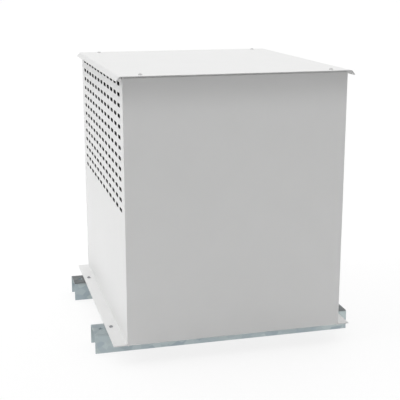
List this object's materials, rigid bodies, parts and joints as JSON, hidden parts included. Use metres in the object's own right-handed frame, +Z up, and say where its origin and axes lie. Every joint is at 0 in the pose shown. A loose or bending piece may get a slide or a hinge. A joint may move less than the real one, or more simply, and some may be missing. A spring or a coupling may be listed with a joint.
{
  "type": "isolation transformer",
  "caption": "Dry isolation transformer in a light-grey sheet-steel enclosure with slotted sides, on galvanised base rails.",
  "frame": {"origin": "on the floor under the middle of the enclosure, at the bottom centre of the bounding box", "axes": "+X along the rails to the right as seen from the front, +Y from the front panel to the rear panel, +Z up"},
  "size_m": [0.625, 0.618, 0.6517],
  "materials": {
    "grey_paint": "light-grey powder coat, fine satin texture",
    "galvanised_rail": "galvanised sheet with soft spangle",
    "zinc_fasteners": "bright zinc plate",
    "core_steel": "varnished electrical steel laminations",
    "clamp_steel": "dark grey paint",
    "varnished_winding": "varnished insulation over the winding",
    "copper_screen": "bare copper foil",
    "pressboard": "matte pressboard",
    "pad_rubber": "matte rubber",
    "terminal_plastic": "moulded thermoset, matte",
    "lead_insulation": "silicone-insulated lead"
  },
  "bodies": {
    "root": {"front_rail": "galvanised_rail", "rear_rail": "galvanised_rail", "left_side_panel": "grey_paint", "right_side_panel": "grey_paint", "front_panel": "grey_paint", "rear_panel": "grey_paint", "roof_panel": "grey_paint", "roof_screws": "zinc_fasteners", "roof_nuts": "zinc_fasteners", "flange_screws": "zinc_fasteners", "flange_nuts": "zinc_fasteners", "panel_nuts": "zinc_fasteners", "core_lower_yoke": "core_steel", "core_upper_yoke": "core_steel", "core_limb_front": "core_steel", "core_limb_middle": "core_steel", "core_limb_rear": "core_steel", "yoke_insulation": "pressboard", "coil_former_front": "pressboard", "coil_former_middle": "pressboard", "coil_former_rear": "pressboard", "secondary_winding_front": "varnished_winding", "secondary_winding_middle": "varnished_winding", "secondary_winding_rear": "varnished_winding", "winding_screen_front": "copper_screen", "winding_screen_middle": "copper_screen", "winding_screen_rear": "copper_screen", "duct_spacers": "pressboard", "primary_winding_front": "varnished_winding", "primary_winding_middle": "varnished_winding", "primary_winding_rear": "varnished_winding", "lower_coil_blocks": "pressboard", "upper_coil_blocks": "pressboard", "lower_clamp_left": "clamp_steel", "lower_clamp_right": "clamp_steel", "upper_clamp_left": "clamp_steel", "upper_clamp_right": "clamp_steel", "yoke_bolts": "zinc_fasteners", "yoke_nuts": "zinc_fasteners", "tie_rods": "zinc_fasteners", "tie_rod_nuts": "zinc_fasteners", "mounting_pads": "pad_rubber", "foot_bolts": "zinc_fasteners", "foot_nuts": "zinc_fasteners", "terminal_posts": "zinc_fasteners", "primary_terminal_rail": "zinc_fasteners", "secondary_terminal_rail": "zinc_fasteners", "terminal_rail_screws": "zinc_fasteners", "primary_terminals": "terminal_plastic", "secondary_terminals": "terminal_plastic", "primary_leads": "lead_insulation", "secondary_leads": "lead_insulation", "lifting_eyes": "zinc_fasteners"}
  },
  "joints": []
}
